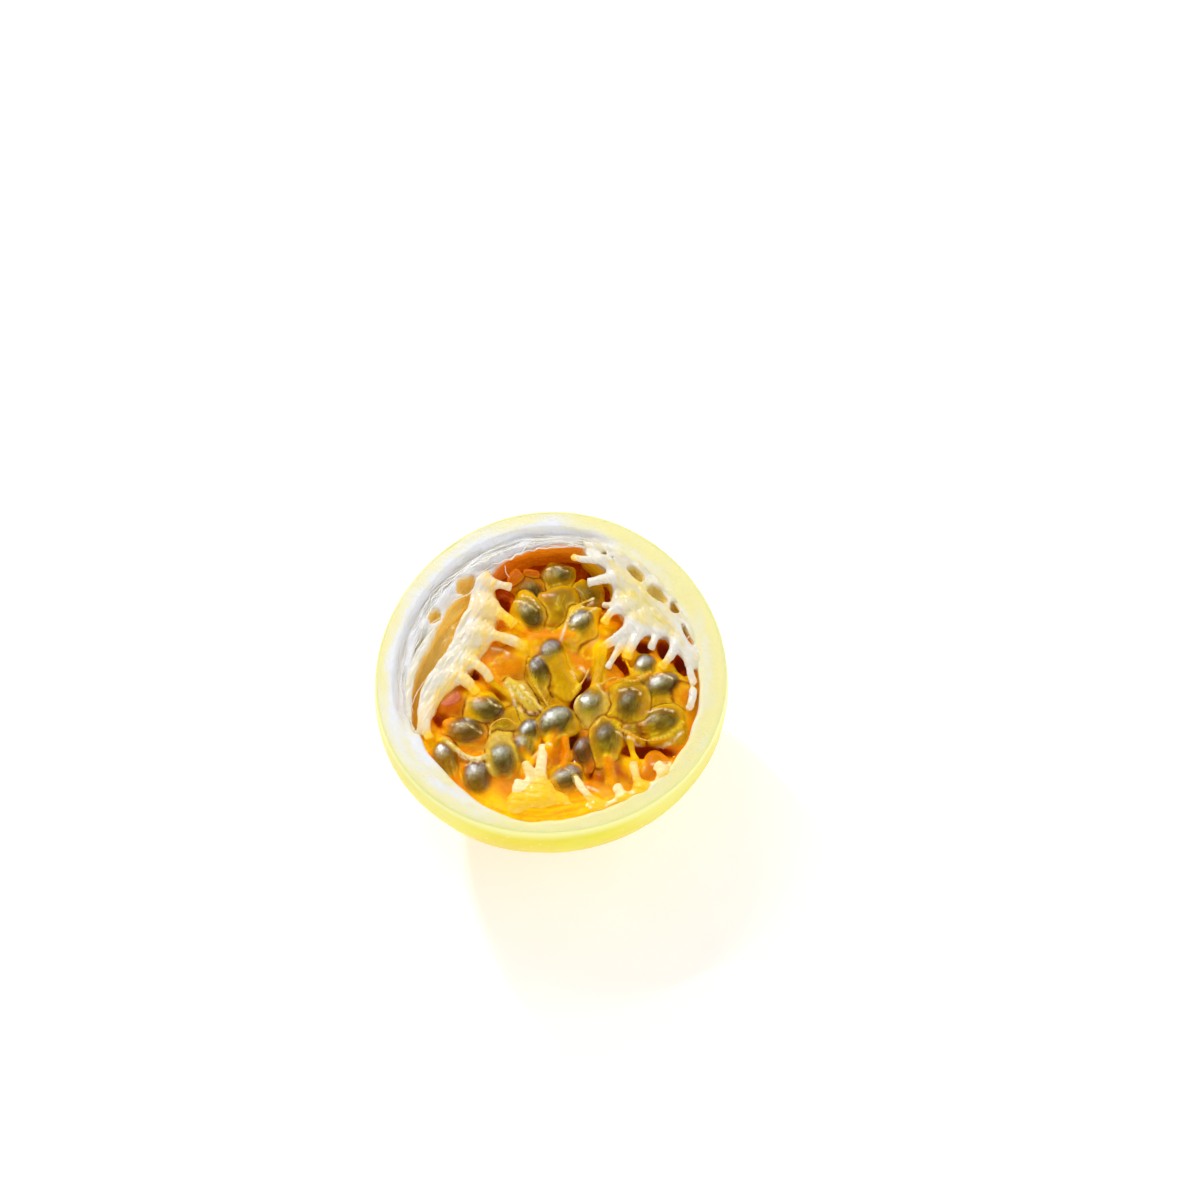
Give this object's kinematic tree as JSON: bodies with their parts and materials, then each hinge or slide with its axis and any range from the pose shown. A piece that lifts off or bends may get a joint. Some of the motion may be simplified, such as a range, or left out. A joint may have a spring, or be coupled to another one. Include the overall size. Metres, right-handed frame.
{
  "type": "passion fruit half",
  "caption": "Half of a yellow passion fruit cut across, resting on its round end, with thick peel, pale placentas with seed stalks, and glossy orange pulp full of dark seeds.",
  "frame": {"origin": "on the floor under the middle of the fruit, at the flat spot on its round end", "axes": "+Z out of the cut face; +Y towards the open chamber between the two upper placentas; +X towards the side of the right placenta"},
  "size_m": [0.0728, 0.0712, 0.0423],
  "materials": {
    "peel": "smooth, slightly waxy golden yellow fruit skin with fine pale dots",
    "placenta": "moist, creamy white fruit flesh, yellower at the tips of the stalks",
    "pulp": "wet, see-through orange juice and olive gold juice sacs"
  },
  "bodies": {
    "root": {"peel": "peel", "placenta_upper_left": "placenta", "placenta_upper_right": "placenta", "placenta_bottom": "placenta", "pulp": "pulp"}
  },
  "joints": []
}
